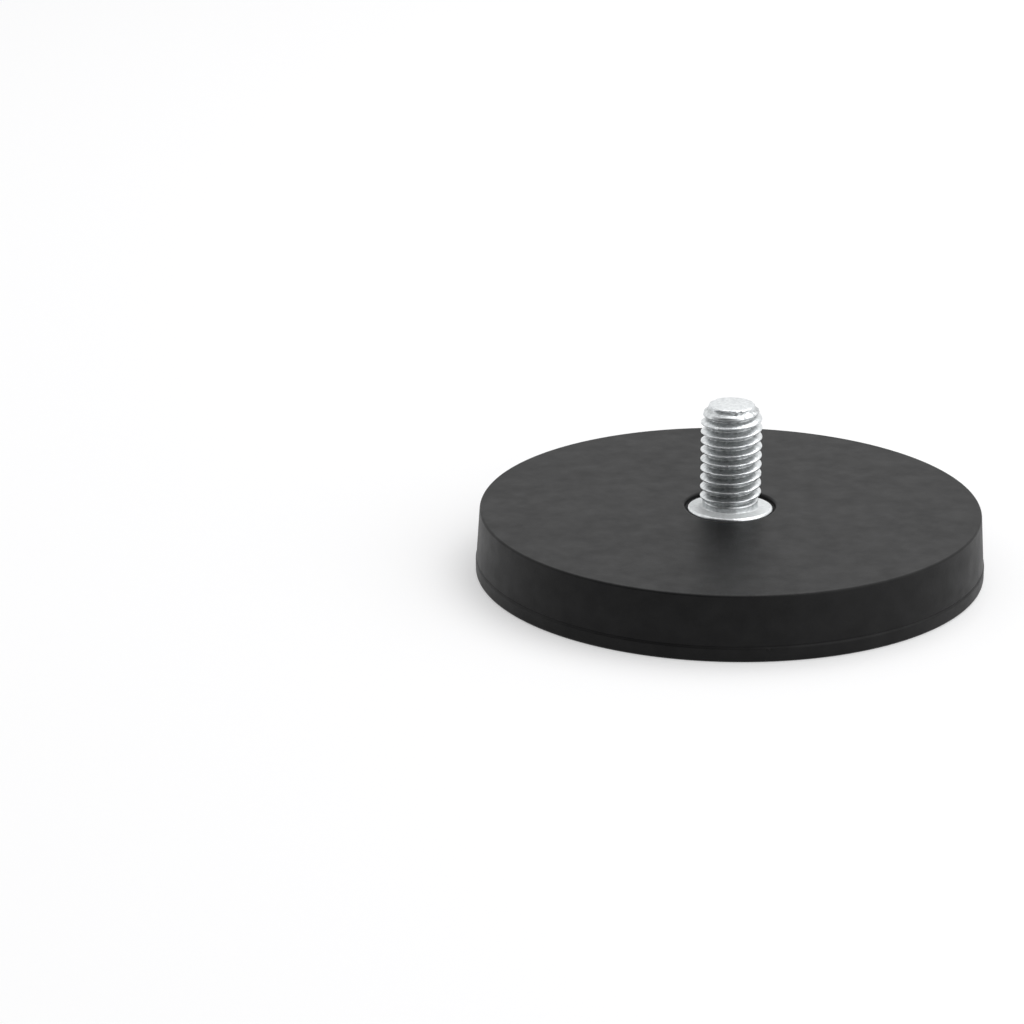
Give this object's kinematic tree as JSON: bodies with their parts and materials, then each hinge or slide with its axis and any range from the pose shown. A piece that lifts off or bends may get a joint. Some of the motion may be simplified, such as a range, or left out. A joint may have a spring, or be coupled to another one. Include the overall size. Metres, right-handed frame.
{
  "type": "rubber-coated magnetic mount",
  "caption": "Flat round rubber-coated magnet base with an upright threaded stud, for fixing a lamp, sensor or bracket to a steel surface without drilling.",
  "frame": {"origin": "centre of the magnet face, which is the underside", "axes": "+Z along the stud, away from the magnet face; +X through the centre of the first magnet"},
  "size_m": [0.066, 0.066, 0.0226],
  "materials": {
    "rubber": "matt black moulded rubber",
    "plate_steel": "zinc-plated steel",
    "zinc_plate": "bright zinc-plated steel",
    "nickel_plate": "nickel-plated magnet"
  },
  "bodies": {
    "root": {"rubber_cover": "rubber", "yoke_plate": "plate_steel", "threaded_stud": "zinc_plate", "magnet_1": "nickel_plate", "magnet_2": "nickel_plate", "magnet_3": "nickel_plate", "magnet_4": "nickel_plate", "magnet_5": "nickel_plate", "magnet_6": "nickel_plate"}
  },
  "joints": []
}
